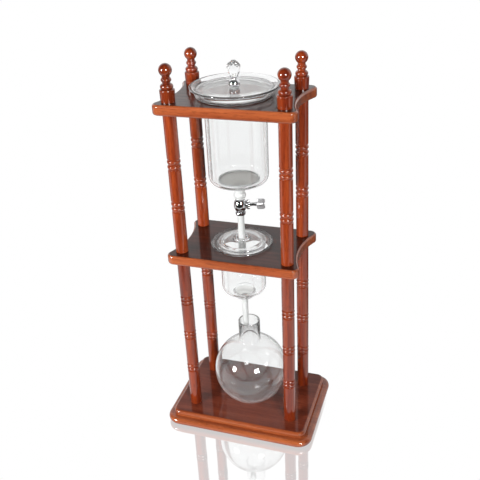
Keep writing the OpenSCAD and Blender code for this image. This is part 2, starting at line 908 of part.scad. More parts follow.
// Cut ball of glass: rings of corners, each turned half a side from the next
module knob_crystal() {
  r = crystal_d / 2;
  centre = crystal_tip_h - r;
  skin = 0.01;
  in_glass_line() color(glass)
    translate([0, 0, bell_base + bell_h])
      difference() {
        hull() {
          cylinder(d = crystal_foot_d, h = skin, $fn = crystal_sides);
          for (ring = crystal_rings) {
            rotate([0, 0, ring[1] * 180 / crystal_sides])
              translate([0, 0, centre + r * sin(ring[0])])
                cylinder(r = r * cos(ring[0]), h = skin, $fn = crystal_sides);
          }
          translate([0, 0, crystal_tip_h - skin])
            cylinder(d = crystal_foot_d / 2, h = skin, $fn = crystal_sides);
        }
        translate([0, 0, -over]) rod(knob_screw_d + 2 * slip, over + crystal_stem_h + over);
      }
}

knob_screw_head_d = 8;
knob_screw_head_h = 2.2;

// Pan-head screw from under the lid, up through the bell into the crystal
module knob_screw() {
  head_low = lid_flat_z - washer_h - knob_screw_head_h;
  drive_w = 1.2;
  in_glass_line() color(steel)
    translate([0, 0, head_low])
      difference() {
        union() {
          rod(knob_screw_head_d, knob_screw_head_h);
          rod(knob_screw_d, bell_base - head_low + bell_h + crystal_stem_h);
        }
        for (turn = [0, 90]) {
          rotate([0, 0, turn])
            translate([-knob_screw_head_d / 4, -drive_w / 2, -over])
              cube([knob_screw_head_d / 2, drive_w, drive_w + over]);
        }
      }
}

// Soft washers above and below the lid's glass
module knob_washers() {
  in_glass_line() color(silicone)
    for (z = [lid_flat_z - washer_h, lid_flat_z + lid_wall]) {
      translate([0, 0, z])
        difference() {
          rod(washer_d, washer_h);
          translate([0, 0, -over]) rod(knob_screw_d + 2 * slip, washer_h + 2 * over);
        }
    }
}

// ---- Coffee chamber ----

chamber_corner_r = 11;
seat_corner_r = 4;
flare_r = 4;
lip_turn_r = 5;
// Width of the flat ring of glass that lies on the shelf
lip_flat_w = 4;
lip_turn_x = chamber_d / 2 + flare_r + lip_flat_w;
lip_angle = -35;

// Outer line of the chamber, from the middle of the filter seat to the lip on the shelf
chamber_line = concat(
  [[0, seat_floor]],
  arc([seat_d / 2 - seat_corner_r, seat_floor + seat_corner_r], seat_corner_r, -90, 0, 5),
  [[seat_d / 2, chamber_floor]],
  arc([chamber_d / 2 - chamber_corner_r, chamber_floor + chamber_corner_r], chamber_corner_r, -90, 0),
  arc([chamber_d / 2 + flare_r, middle_top - flare_r], flare_r, 180, 90, 6),
  arc([lip_turn_x, middle_top + lip_turn_r], lip_turn_r, -90, lip_angle, 5)
);

hose_nipple_d = 6;
hose_nipple_h = 12;
hose_bore_d = 3;

// The chamber is one piece of glass, kept in three parts that are simpler to collide with
module chamber_glass(low, high) {
  rotate_extrude()
    intersection() {
      wall_section(chamber_line, chamber_wall);
      translate([0, low]) square([chamber_d, high - low]);
    }
}

// The cup of the chamber, from its floor up to the start of the flare
module coffee_chamber() {
  in_glass_line() color(glass) chamber_glass(chamber_floor, middle_top - flare_r);
}

// The flare that hangs in the shelf, and the lip around it
module chamber_lip() {
  in_glass_line() color(glass) chamber_glass(middle_top - flare_r, middle_top + 2 * lip_turn_r);
}

// The small cup for the filter, with the nipple for the hose
module chamber_seat() {
  in_glass_line() color(glass)
    difference() {
      union() {
        chamber_glass(seat_floor, chamber_floor);
        translate([0, 0, seat_floor - hose_nipple_h])
          rod(hose_nipple_d, hose_nipple_h + chamber_wall / 2);
      }
      translate([0, 0, seat_floor - hose_nipple_h - over])
        rod(hose_bore_d, hose_nipple_h + chamber_wall + 2 * over);
    }
}

gasket_h = 1.5;
gasket_inset = 1.5;
gasket_w = 3.5;
filter_h = 5;
filter_gap = 0.5;
filter_d = seat_d - 2 * chamber_wall - 2 * filter_gap;

// Soft ring under the ceramic filter
module filter_gasket() {
  in_glass_line() color(silicone)
    translate([0, 0, seat_floor + chamber_wall])
      difference() {
        rod(filter_d - 2 * gasket_inset, gasket_h);
        translate([0, 0, -over])
          rod(filter_d - 2 * gasket_inset - 2 * gasket_w, gasket_h + 2 * over);
      }
}

module ceramic_filter() {
  in_glass_line() color("white")
    translate([0, 0, seat_floor + chamber_wall + gasket_h]) rod(filter_d, filter_h);
}

outlet_top_gap = 1;
outlet_bore_d = 5;

// Hose that takes the coffee down into the flask
module outlet_tube() {
  top = seat_floor - outlet_top_gap;
  in_glass_line() color(silicone)
    translate([0, 0, outlet_end])
      difference() {
        rod(outlet_d, top - outlet_end);
        translate([0, 0, -over]) rod(outlet_bore_d, top - outlet_end + 2 * over);
        translate([0, 0, top - outlet_end - hose_nipple_h])
          rod(hose_nipple_d + 2 * slip, hose_nipple_h + over);
      }
}

// ---- Lid of the coffee chamber ----

chamber_lid_wall = 2.2;
chamber_bead_x = chamber_lid_d / 2 - lid_bead_r;
// Height at which the lid's edge bead rests in the flare of the chamber
flare_reach = flare_r + chamber_wall + lid_bead_r + glass_gap;
flare_side = chamber_d / 2 + flare_r - chamber_bead_x;
chamber_bead_z = middle_top - flare_r + sqrt(flare_reach * flare_reach - flare_side * flare_side);
skirt_d = 60.6;
skirt_h = 4;
lid_collar_d = 26;
lid_collar_h = 7.6;
// Underside of the dome, from the collar out: distance from the middle, height over the edge bead
dome_under = [[lid_collar_d / 2, 3], [22, 2], [30, -0.2]];

// Half section of the lid's dome, without its edge bead
module dome_section() {
  difference() {
    wall_section(
      concat(
        [[chamber_lid_hole_d / 2, chamber_bead_z + dome_under[0].y]],
        [for (p = dome_under) [p.x, chamber_bead_z + p.y]],
        [[chamber_bead_x, chamber_bead_z - chamber_lid_wall / 2]]
      ),
      chamber_lid_wall
    );
    square([lid_collar_d / 2, chamber_bead_z + chamber_lid_d]);
  }
}

// The lid is one piece of glass, kept in three parts that are simpler to collide with
module chamber_lid() {
  in_glass_line() color(glass)
    rotate_extrude() {
      dome_section();
      translate([chamber_bead_x, chamber_bead_z]) circle(lid_bead_r);
    }
}

// Ring under the dome that keeps the lid in the middle of the chamber
module chamber_lid_skirt() {
  in_glass_line() color(glass)
    rotate_extrude()
      difference() {
        translate([skirt_d / 2 - chamber_lid_wall, chamber_bead_z - skirt_h])
          square([chamber_lid_wall, skirt_h + chamber_lid_wall / 2]);
        dome_section();
      }
}

// Raised ring around the hole for the drip tube
module chamber_lid_collar() {
  hole_r = chamber_lid_hole_d / 2;
  collar_out = lid_collar_d / 2;
  low = chamber_bead_z + dome_under[0].y;
  high = chamber_bead_z + lid_collar_h;
  in_glass_line() color(glass)
    rotate_extrude() {
      translate([hole_r, low]) square([collar_out - hole_r, high - low - lid_bead_r]);
      translate([hole_r, low]) square([collar_out - hole_r - lid_bead_r, high - low]);
      translate([collar_out - lid_bead_r, high - lid_bead_r]) circle(lid_bead_r);
    }
}

// ---- Flask ----

// Level at which the neck is drawn out of the ball
neck_root_h = flask_centre_h
  + sqrt((flask_d * flask_d - flask_neck_d * flask_neck_d) / 4);

module in_flask_place() {
  translate([flask_shift_x, 0, base_top]) children();
}

// The ball, cut flat underneath to stand on the base and open under the neck.
// Ball and neck are one piece of glass, kept in two parts that are simpler to collide with.
module flask_ball() {
  ball_r = flask_d / 2;
  in_flask_place() color(glass)
    difference() {
      intersection() {
        translate([0, 0, flask_centre_h]) sphere(ball_r);
        translate([-ball_r, -ball_r, 0]) cube([2 * ball_r, 2 * ball_r, neck_root_h]);
      }
      intersection() {
        translate([0, 0, flask_centre_h]) sphere(ball_r - flask_wall);
        translate([-ball_r, -ball_r, flask_wall]) cube([2 * ball_r, 2 * ball_r, 2 * ball_r]);
      }
      translate([0, 0, flask_centre_h]) rod(flask_neck_d - 2 * flask_wall, flask_h);
    }
}

module flask_neck() {
  lip_r = flask_wall / 2;
  neck_l = flask_h - lip_r - neck_root_h;
  in_flask_place() color(glass)
    translate([0, 0, neck_root_h])
      difference() {
        union() {
          rod(flask_neck_d, neck_l);
          translate([0, 0, neck_l])
            rotate_extrude() translate([flask_neck_d / 2 - lip_r, 0]) circle(lip_r);
        }
        translate([0, 0, -over]) rod(flask_neck_d - 2 * flask_wall, neck_l + 2 * over);
      }
}

base_plate();
base_feet();
base_screws();
lower_post(left, front);  // lower_post_front_left
lower_post(right, front);  // lower_post_front_right
lower_post(left, back);  // lower_post_back_left
lower_post(right, back);  // lower_post_back_right
middle_shelf();
middle_studs();
upper_post(left, front);  // upper_post_front_left
upper_post(right, front);  // upper_post_front_right
upper_post(left, back);  // upper_post_back_left
upper_post(right, back);  // upper_post_back_right
top_shelf();
top_studs();
finial(left, front);  // finial_front_left
finial(right, front);  // finial_front_right
finial(left, back);  // finial_back_left
finial(right, back);  // finial_back_right
water_vessel();
strainer_mesh();
strainer_ring();
vessel_coupler();
tap_body();
tap_packing();
tap_gland_nut();
tap_nozzle_nut();
drip_tube();
tap_spindle();
tap_wing();
tap_wing_pin();
top_lid();
knob_bell();
knob_crystal();
knob_screw();
knob_washers();
coffee_chamber();
chamber_lip();
chamber_seat();
ceramic_filter();
filter_gasket();
outlet_tube();
chamber_lid();
chamber_lid_skirt();
chamber_lid_collar();
flask_ball();
flask_neck();
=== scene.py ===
"""Looks of the cold drip coffee tower: lacquered wood, clear glass, chrome and milky silicone.

The scene is in metres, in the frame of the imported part: the table is z = 0, +X is right and the
front faces -Y. Outlines are drawn in millimetres. Sizes come from the frame's boxes; the few
that a box can't tell are named below.
"""

import json
import math

import bmesh
import bpy
from mathutils import Matrix, Vector


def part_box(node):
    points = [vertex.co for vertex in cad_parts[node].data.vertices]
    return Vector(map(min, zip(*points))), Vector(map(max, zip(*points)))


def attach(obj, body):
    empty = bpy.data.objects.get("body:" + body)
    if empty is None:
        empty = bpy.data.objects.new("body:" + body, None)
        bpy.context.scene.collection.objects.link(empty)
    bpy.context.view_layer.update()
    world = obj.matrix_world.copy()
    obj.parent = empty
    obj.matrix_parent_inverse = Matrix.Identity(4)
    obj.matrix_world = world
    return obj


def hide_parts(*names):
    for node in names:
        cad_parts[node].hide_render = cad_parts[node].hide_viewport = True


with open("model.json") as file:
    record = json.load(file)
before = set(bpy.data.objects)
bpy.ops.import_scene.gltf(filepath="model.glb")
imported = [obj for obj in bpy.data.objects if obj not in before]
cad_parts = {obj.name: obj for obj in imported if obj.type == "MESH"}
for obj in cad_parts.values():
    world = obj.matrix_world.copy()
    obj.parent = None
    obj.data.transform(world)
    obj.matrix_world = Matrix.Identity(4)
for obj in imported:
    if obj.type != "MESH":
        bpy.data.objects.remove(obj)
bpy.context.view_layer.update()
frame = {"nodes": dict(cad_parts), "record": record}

MM = 0.001


def mm_box(node):
    """A CAD node's lowest and highest corner, in millimetres."""
    low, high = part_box(node)
    return low / MM, high / MM


def heights(node):
    """Heights of a CAD node's bottom and top, in millimetres."""
    low, high = mm_box(node)
    return low.z, high.z


def radius_of(node):
    """Radius of a round CAD node, in millimetres."""
    low, high = mm_box(node)
    return (high.x - low.x) / 2


TOP_SHELF_TOP = heights("top_shelf")[1]
MIDDLE_SHELF_TOP = heights("middle_shelf")[1]
BASE_TOP = heights("base_plate")[1]

# The vessel, the tap and the chamber hang on one line, a little to the left of the frame's middle
VESSEL_LOW, VESSEL_HIGH = mm_box("water_vessel")
GLASS_X = (VESSEL_LOW.x + VESSEL_HIGH.x) / 2
GLASS_LINE = Matrix.Translation((GLASS_X * MM, 0, 0))

# Hair of air under glass and inside it, so that no two faces lie in one plane
AIR = 0.1

# ---------------------------------------------------------------- camera

CAMERA_PLACE = Vector((0.3037, -0.8759, 0.8069))
CAMERA_RIGHT = Vector((0.94997, 0.30905, -0.04516))
CAMERA_UP = Vector((-0.10748, 0.45923, 0.88178))
CAMERA_LENS_MM = 52.757
CAMERA_SENSOR_MM = 36
CAMERA_CLIP_START = 0.01


def make_camera():
    """The photograph's camera, as fitted to the corners of the frame."""
    data = bpy.data.cameras.new("camera")
    data.lens = CAMERA_LENS_MM
    data.sensor_width = CAMERA_SENSOR_MM
    data.clip_start = CAMERA_CLIP_START
    camera = bpy.data.objects.new("camera", data)
    bpy.context.scene.collection.objects.link(camera)
    right = CAMERA_RIGHT.normalized()
    back = right.cross(CAMERA_UP).normalized()
    up = back.cross(right)
    turn = Matrix((right, up, back)).transposed().to_4x4()
    camera.matrix_world = Matrix.Translation(CAMERA_PLACE) @ turn
    bpy.context.scene.camera = camera


make_camera()

# ---------------------------------------------------------------- node graphs


class Graph:
    """Short ways to build a node tree. An input is fed by a socket or by a plain value."""

    def __init__(self, tree):
        self.tree = tree

    def feed(self, socket, value):
        """Joins the input to the socket, or sets it to the value."""
        if isinstance(value, bpy.types.NodeSocket):
            self.tree.links.new(value, socket)
        else:
            socket.default_value = value

    def feed_all(self, node, values):
        for name, value in values.items():
            self.feed(node.inputs[name], value)

    def add(self, kind, **values):
        """A new node; each value goes to the input of that name, or else to the property."""
        node = self.tree.nodes.new(kind)
        for key, value in values.items():
            title = key.replace("_", " ").title()
            if title in node.inputs:
                self.feed(node.inputs[title], value)
            else:
                setattr(node, key, value)
        return node

    def math(self, operation, *values):
        node = self.add("ShaderNodeMath", operation=operation)
        for socket, value in zip(node.inputs, values):
            self.feed(socket, value)
        return node.outputs[0]

    def mapped(self, value, start, end, low, high, kind="SMOOTHSTEP"):
        """Goes from low to high while the value goes from start to end, and stays level beyond."""
        node = self.add("ShaderNodeMapRange", interpolation_type=kind, value=value)
        self.feed_all(node, {"From Min": start, "From Max": end, "To Min": low, "To Max": high})
        return node.outputs[0]

    def ramp(self, value, *stops):
        """Colour ramp; each stop is a place with a colour or a level of grey."""
        node = self.add("ShaderNodeValToRGB", fac=value)
        elements = node.color_ramp.elements
        while len(elements) < len(stops):
            elements.new(0.5)
        for element, (place, shade) in zip(elements, stops):
            colour = shade if isinstance(shade, tuple) else (shade, shade, shade)
            element.position = place
            element.color = (*colour, 1)
        return node.outputs["Color"]

    def mixed(self, kind, amount, a, b):
        """Two colours mixed."""
        node = self.add("ShaderNodeMix", data_type="RGBA", blend_type=kind)
        for index, value in ((0, amount), (6, a), (7, b)):
            self.feed(node.inputs[index], value)
        return node.outputs[2]

    def chosen(self, choice, a, b):
        """The number a where choice is 0, and b where it is 1."""
        node = self.add("ShaderNodeMix", data_type="FLOAT")
        for index, value in ((0, choice), (2, a), (3, b)):
            self.feed(node.inputs[index], value)
        return node.outputs[0]

    def covered(self, share, under, over):
        """Two shader nodes mixed; share is how much of the second one shows."""
        node = self.add("ShaderNodeMixShader", fac=share)
        self.feed(node.inputs[1], under.outputs[0])
        self.feed(node.inputs[2], over.outputs[0])
        return node

    def object_place(self):
        return self.add("ShaderNodeTexCoord").outputs["Object"]

    def split(self, vector):
        return self.add("ShaderNodeSeparateXYZ", vector=vector).outputs

    def object_space(self, scale):
        """Object coordinates stretched by scale, so that grain lies along one axis."""
        return self.add("ShaderNodeMapping", vector=self.object_place(), scale=scale).outputs["Vector"]

    def noise(self, stretch, seed=None, **values):
        """Noise stretched along the object's axes; a seed gives it a pattern of its own."""
        if seed is not None:
            values.update(noise_dimensions="4D", w=seed)
        node = self.add("ShaderNodeTexNoise", vector=self.object_space(stretch), scale=1, **values)
        return node.outputs["Fac"]

    def cells(self, scale):
        """Distance to the nearest of many scattered points."""
        node = self.add("ShaderNodeTexVoronoi", vector=self.object_space((1, 1, 1)), scale=scale)
        return node.outputs["Distance"]

    def bump(self, socket, height, strength, distance):
        node = self.add("ShaderNodeBump", height=height, strength=strength, distance=distance)
        self.feed(socket, node.outputs["Normal"])

    def ray_level(self, lit, gloss):
        """Brightness: 1 seen directly or through glass, gloss in a reflection, and lit for other rays.

        Its second socket is 1 where the ray is direct or through glass, and 0 elsewhere.
        """
        rays = self.add("ShaderNodeLightPath").outputs
        direct = self.math("MAXIMUM", rays["Is Camera Ray"], rays["Is Transmission Ray"])
        level = self.chosen(rays["Is Glossy Ray"], lit, gloss)
        return self.math("MAXIMUM", level, direct), direct


# ---------------------------------------------------------------- materials

# Noise cells to the metre in wood, across the grain and along it
WOOD_BANDS = (110, 6)
WOOD_CLOUDS = (14, 6)
WOOD_PORES = (900, 90)
LACQUER_RIPPLE = (160, 30)

# Noise cells to the metre in other materials, along X, Y and Z
GLASS_WAVES = (18, 18, 9)
POLISHING_LINES = (400, 400, 1500)
SILICONE_CLOUDS = (260, 260, 40)
RUBBER_GRAIN = (1800, 1800, 1800)

# Scales of evenly spread patterns
STEEL_SPANGLE = 900
MESH_THREADS = 320
CERAMIC_GRAINS = 1400

# Places on the band noise of the dark, middle and light stain
STAIN_PLACES = (0.34, 0.51, 0.66)
POST_STAIN = ((0.09, 0.008, 0.002), (0.175, 0.022, 0.004), (0.25, 0.04, 0.008))
# Painted light: a lighter copy of the post stain for the upper posts, which show brighter than the
# lower ones
UPPER_POST_LIT_STAIN = ((0.115, 0.012, 0.003), (0.22, 0.032, 0.007), (0.31, 0.056, 0.013))
EDGE_STAIN = ((0.17, 0.03, 0.008), (0.28, 0.062, 0.018), (0.38, 0.1, 0.03))
# Darker copies of the stain for the tops of the shelves and the base: painted shade, as little light
# falls on them from above
SHELF_TOP_SHADED_STAIN = ((0.03, 0.005, 0.0015), (0.052, 0.009, 0.003), (0.08, 0.015, 0.006))
BASE_TOP_SHADED_STAIN = ((0.1, 0.018, 0.008), (0.15, 0.029, 0.013), (0.2, 0.044, 0.02))

# How far a point may be from a level, in millimetres, and still be on it
LEVEL_TOLERANCE = 0.15
# How far glass is turned away, from 0 square on to 1 edge-on, where its veil begins to thicken
VEIL_START = 0.45

# Every material by its name
MATERIALS = {}


def new_material(name):
    """Adds a material to MATERIALS; gives its Principled surface and the graph that feeds it."""
    material = bpy.data.materials.new(name)
    material.use_nodes = True
    MATERIALS[name] = material
    return material.node_tree.nodes["Principled BSDF"], Graph(material.node_tree)


def at_levels(graph, levels):
    """1 on level faces at one of these heights in millimetres, and 0 elsewhere."""
    height = graph.split(graph.object_place())["Z"]
    matches = [graph.math("COMPARE", height, level * MM, LEVEL_TOLERANCE * MM) for level in levels]
    either = matches[0]
    for match in matches[1:]:
        either = graph.math("MAXIMUM", either, match)
    return either


def lacquered_wood(name, along, seed, edge, face=None, shaded_levels=(), face_gloss=1.0):
    """Stained hardwood under clear gloss lacquer; along is the axis that the grain runs along.

    edge holds the dark, middle and light stain of mouldings and sides. face holds those of the
    tops at the given levels: a darker copy of the stain, painted shade for the dim light from
    above; face_gloss is how much lacquer shines there.
    """
    shader, graph = new_material(name)

    def grain(scale, **values):
        across, lengthwise = scale
        return graph.noise(tuple(lengthwise if axis == along else across for axis in "XYZ"), **values)

    bands = grain(WOOD_BANDS, seed=seed, detail=8, roughness=0.68, distortion=0.4)
    stain = graph.ramp(bands, *zip(STAIN_PLACES, edge))
    gloss = 1.0
    if shaded_levels:
        # Painted shade: the tops at these levels take the darker copy of the stain
        on_shaded_top = at_levels(graph, shaded_levels)
        stain = graph.mixed("MIX", on_shaded_top, stain, graph.ramp(bands, *zip(STAIN_PLACES, face)))
        gloss = graph.mapped(on_shaded_top, 0, 1, 1, face_gloss, "LINEAR")
    clouds = graph.ramp(grain(WOOD_CLOUDS, seed=seed + 3, detail=2), (0.3, 0.78), (0.7, 1.12))
    pores = grain(WOOD_PORES, seed=seed + 7, detail=3, roughness=0.7)
    clouded = graph.mixed("MULTIPLY", 1.0, stain, clouds)
    colour = graph.mixed("MULTIPLY", 0.7, clouded, graph.ramp(pores, (0.34, 0.35), (0.46, 1)))
    graph.feed_all(shader, {
        "Base Color": colour,
        "Roughness": graph.ramp(bands, (0.3, 0.42), (0.7, 0.3)),
        "Specular IOR Level": 0.08,
        "Coat Weight": gloss,
        "Coat Roughness": 0.03,
        "Coat IOR": 1.6,
    })
    graph.bump(shader.inputs["Normal"], pores, 0.25, 0.00008)
    # The lacquer is almost level: it only lets the grain show through as a faint ripple
    graph.bump(shader.inputs["Coat Normal"], grain(LACQUER_RIPPLE, detail=2), 0.12, 0.00006)


def clear_glass(name, seed, ior, wave, veil):
    """Clear glass whose surface is very slightly wavy, as blown glass is; wave is how deep, in metres.

    veil is the share of light that a fine film on it scatters: seen square on, and edge-on.
    """
    shader, graph = new_material(name)
    waves = graph.noise(GLASS_WAVES, seed=seed, detail=1)
    slant = graph.add("ShaderNodeLayerWeight", blend=0.5).outputs["Facing"]
    graph.feed_all(shader, {
        "Base Color": graph.ramp(waves, (0.3, (0.945, 0.95, 0.95)), (0.7, (0.965, 0.97, 0.97))),
        "Roughness": 0,
        "IOR": ior,
        "Transmission Weight": graph.mapped(slant, VEIL_START, 1, 1 - veil[0], 1 - veil[1]),
    })
    graph.bump(shader.inputs["Normal"], waves, 0.3, wave)


def chrome(name, hazy):
    """Chrome plate with a faint haze and polishing lines; hazy is its least roughness."""
    shader, graph = new_material(name)
    haze = graph.noise(POLISHING_LINES, detail=4)
    graph.feed_all(shader, {
        "Base Color": graph.ramp(haze, (0.3, (0.66, 0.665, 0.68)), (0.7, (0.74, 0.745, 0.755))),
        "Roughness": graph.ramp(haze, (0.3, hazy), (0.75, hazy * 1.5 + 0.03)),
        "Metallic": 1,
    })
    graph.bump(shader.inputs["Normal"], haze, 0.05, 0.00002)


def steel(name):
    """Zinc-plated steel of screws and studs."""
    shader, graph = new_material(name)
    spangle = graph.cells(STEEL_SPANGLE)
    graph.feed_all(shader, {
        "Base Color": graph.ramp(spangle, (0, (0.5, 0.5, 0.48)), (1, (0.66, 0.66, 0.64))),
        "Roughness": graph.ramp(spangle, (0, 0.28), (1, 0.42)),
        "Metallic": 1,
    })


def milky_silicone(name, ior, clear, rough):
    """Translucent hose and seals: clear is the share of light that passes through."""
    shader, graph = new_material(name)
    cloud = graph.noise(SILICONE_CLOUDS, detail=3)
    graph.feed_all(shader, {
        "Base Color": graph.ramp(cloud, (0.3, (0.7, 0.715, 0.71)), (0.7, (0.8, 0.81, 0.8))),
        "Roughness": graph.ramp(cloud, (0.3, rough), (0.7, rough * 1.4)),
        "IOR": ior,
        "Transmission Weight": clear,
    })
    graph.bump(shader.inputs["Normal"], cloud, 0.2, 0.00005)


def wire_mesh(name):
    """Very fine woven stainless cloth."""
    shader, graph = new_material(name)
    threads = [
        graph.add(
            "ShaderNodeTexWave",
            wave_type="BANDS",
            bands_direction=direction,
            vector=graph.object_space((1, 1, 1)),
            scale=MESH_THREADS,
            distortion=0,
        ).outputs["Fac"]
        for direction in "XY"
    ]
    weave = graph.mixed("MULTIPLY", 1.0, *threads)
    graph.feed_all(shader, {
        "Base Color": graph.ramp(weave, (0, (0.7, 0.69, 0.66)), (1, (0.95, 0.94, 0.91))),
        "Roughness": 0.5,
        "IOR": 1.1,
        "Transmission Weight": 0.62,
    })
    graph.bump(shader.inputs["Normal"], weave, 0.5, 0.0002)


def porous_ceramic(name):
    """White frit, thin enough for light to come through."""
    shader, graph = new_material(name)
    grains = graph.cells(CERAMIC_GRAINS)
    graph.feed_all(shader, {
        "Base Color": graph.ramp(grains, (0, (0.88, 0.87, 0.85)), (0.8, (0.96, 0.955, 0.94))),
        "Roughness": 0.55,
        "IOR": 1.05,
        "Transmission Weight": 0.97,
    })
    graph.bump(shader.inputs["Normal"], grains, 0.6, 0.0002)


def pad_rubber(name):
    """Black rubber of the stick-on feet."""
    shader, graph = new_material(name)
    grain = graph.noise(RUBBER_GRAIN)
    graph.feed_all(shader, {
        "Base Color": graph.ramp(grain, (0.3, 0.02), (0.7, (0.05, 0.05, 0.048))),
        "Roughness": 0.75,
    })
    graph.bump(shader.inputs["Normal"], grain, 0.5, 0.0002)


lacquered_wood("post_wood", along="Z", seed=1.0, edge=POST_STAIN)
# Painted light: a lighter copy of the post wood for the upper posts
lacquered_wood("top_post_wood", along="Z", seed=6.0, edge=UPPER_POST_LIT_STAIN)
lacquered_wood(
    "shelf_wood",
    along="X",
    seed=4.0,
    edge=EDGE_STAIN,
    face=SHELF_TOP_SHADED_STAIN,
    shaded_levels=(MIDDLE_SHELF_TOP, TOP_SHELF_TOP),
    face_gloss=0.45,
)
lacquered_wood(
    "base_wood",
    along="X",
    seed=9.0,
    edge=EDGE_STAIN,
    face=BASE_TOP_SHADED_STAIN,
    shaded_levels=(BASE_TOP,),
    face_gloss=0.38,
)
clear_glass("clear_glass", seed=2.0, ior=1.47, wave=0.0002, veil=(0.012, 0.35))
clear_glass("crystal", seed=5.0, ior=1.56, wave=0.00001, veil=(0.0, 0.02))
chrome("chrome", hazy=0.03)
chrome("satin_chrome", hazy=0.36)
steel("steel")
milky_silicone("silicone", ior=1.41, clear=0.45, rough=0.3)
milky_silicone("clear_silicone", ior=1.02, clear=0.99, rough=0.01)
wire_mesh("mesh")
porous_ceramic("ceramic")
pad_rubber("pad_rubber")

# ---------------------------------------------------------------- mesh helpers

TURNS = 128
SHARP_ANGLE = math.radians(32)


def arc(centre_r, centre_z, radius, start, end, steps=12):
    """Points on a circular arc in the (r, z) half plane; the angles are in degrees."""
    angles = [math.radians(start + (end - start) * i / steps) for i in range(steps + 1)]
    return [(centre_r + radius * math.cos(a), centre_z + radius * math.sin(a)) for a in angles]


def moved_left(path, distance):
    """The path with every point moved to its left, as the inner face of a wall is."""
    moved = []
    for i, point in enumerate(path):
        before = path[max(i - 1, 0)]
        here = path[max(i, 1)]
        after = path[min(i + 1, len(path) - 1)]
        there = path[min(i, len(path) - 2)]
        n_in = Vector((before[1] - here[1], here[0] - before[0])).normalized()
        n_out = Vector((there[1] - after[1], after[0] - there[0])).normalized()
        middle = (n_in + n_out).normalized()
        step = middle * (distance / middle.dot(n_in))
        moved.append((point[0] + step.x, point[1] + step.y))
    return moved


def round_lip(outer_end, inner_end, steps=8):
    """Half circle between the outer face's last point and the inner face's last point."""
    a, b = Vector(outer_end), Vector(inner_end)
    middle, half = (a + b) / 2, (a - b) / 2
    along = Vector((half.y, -half.x))
    if along.dot(Vector((1, 1))) < 0:
        along = -along
    angles = [math.pi * i / steps for i in range(1, steps)]
    return [tuple(middle + half * math.cos(angle) + along * math.sin(angle)) for angle in angles]


def turned_vertex(bm, place, r, z, angle):
    """A vertex at radius r and height z in millimetres, turned by angle about place's Z."""
    return bm.verts.new(place @ Vector((r * MM * math.cos(angle), r * MM * math.sin(angle), z * MM)))


def skin(bm, rings, closed=True):
    """Faces from each ring of vertices to the next; a ring of one vertex is a pole."""
    following = rings[1:] + rings[:1] if closed else rings[1:]
    for a, b in zip(rings, following):
        for k in range(max(len(a), len(b))):
            corners = [a[k % len(a)], a[(k + 1) % len(a)], b[(k + 1) % len(b)], b[k % len(b)]]
            unique = list(dict.fromkeys(corners))
            if len(unique) > 2:
                bm.faces.new(unique)


def add_lathe(bm, profile, place=Matrix.Identity(4), turns=TURNS):
    """Turns a closed (r, z) profile in millimetres about Z, and puts it at place."""
    rings = []
    for r, z in profile:
        count = turns if r > 0 else 1
        rings.append([turned_vertex(bm, place, r, z, 2 * math.pi * k / turns) for k in range(count)])
    skin(bm, rings)


def finish_piece(bm, name, body, slot, replaces, look=None):
    """Turns a bmesh into a named piece on a body; look is its material if that isn't the slot's."""
    bmesh.ops.recalc_face_normals(bm, faces=bm.faces)
    mesh = bpy.data.meshes.new(name)
    bm.to_mesh(mesh)
    bm.free()
    mesh.shade_smooth()
    mesh.set_sharp_from_angle(angle=SHARP_ANGLE)
    piece = bpy.data.objects.new(name, mesh)
    bpy.context.scene.collection.objects.link(piece)
    mesh.materials.append(MATERIALS[look or slot])
    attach(piece, body)
    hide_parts(*replaces)
    return piece


def lathe_piece(name, body, slot, replaces, profile, place=GLASS_LINE, look=None):
    """One turned piece; most of them stand on the glass line."""
    bm = bmesh.new()
    add_lathe(bm, profile, place)
    finish_piece(bm, name, body, slot, replaces, look)


def walled(foot, line, wall, bore):
    """Closed profile of a glass vessel: its foot, outer line, rolled rim, inner line and bore."""
    inner = moved_left(line, wall)
    return foot + line + round_lip(line[-1], inner[-1]) + inner[::-1] + bore


# ---------------------------------------------------------------- water vessel

VESSEL_R = 43.0
VESSEL_WALL = 2.4
VESSEL_CORNER_R = 11.6
SHOULDER_R = 2.2
COLLAR_R = 54.2
COLLAR_ROLL_R = 3.5
RIM_FLARE_R = 5.5
SPOUT_R = 5.0
SPOUT_H = 12.0
SPOUT_BORE_R = 2.6
SPOUT_ROOT_R = 2.5
SPOUT_CHAMFER = 0.8
VESSEL_FLOOR = VESSEL_LOW.z + SPOUT_H


def make_vessel():
    """Cylinder with a spout below, a collar on the top shelf and a flared rim."""
    foot, floor = VESSEL_LOW.z, VESSEL_FLOOR
    spout = (
        [(SPOUT_BORE_R, foot), (SPOUT_R - SPOUT_CHAMFER, foot), (SPOUT_R, foot + SPOUT_CHAMFER)]
        + arc(SPOUT_R + SPOUT_ROOT_R, floor - SPOUT_ROOT_R, SPOUT_ROOT_R, 180, 90, 6)
    )
    rim_r, rim_z = VESSEL_HIGH.x - GLASS_X, VESSEL_HIGH.z - VESSEL_WALL
    line = (
        arc(VESSEL_R - VESSEL_CORNER_R, floor + VESSEL_CORNER_R, VESSEL_CORNER_R, -90, 0)
        + arc(VESSEL_R + SHOULDER_R, TOP_SHELF_TOP - SHOULDER_R, SHOULDER_R, 180, 90, 8)
        + arc(COLLAR_R - COLLAR_ROLL_R, TOP_SHELF_TOP + COLLAR_ROLL_R, COLLAR_ROLL_R, -90, 0, 8)
        + arc(COLLAR_R + RIM_FLARE_R, rim_z - RIM_FLARE_R, RIM_FLARE_R, 180, 100, 12)
        + [(rim_r - 1.6, rim_z + 0.3)]
    )
    funnel = 1.2
    bore = [
        (SPOUT_BORE_R + funnel, floor + VESSEL_WALL),
        (SPOUT_BORE_R, floor + VESSEL_WALL - funnel),
    ]
    profile = walled(spout, line, VESSEL_WALL, bore)
    lathe_piece("vessel_glass", "water_vessel", "clear_glass", ["water_vessel"], profile)


make_vessel()

# ---------------------------------------------------------------- coffee chamber

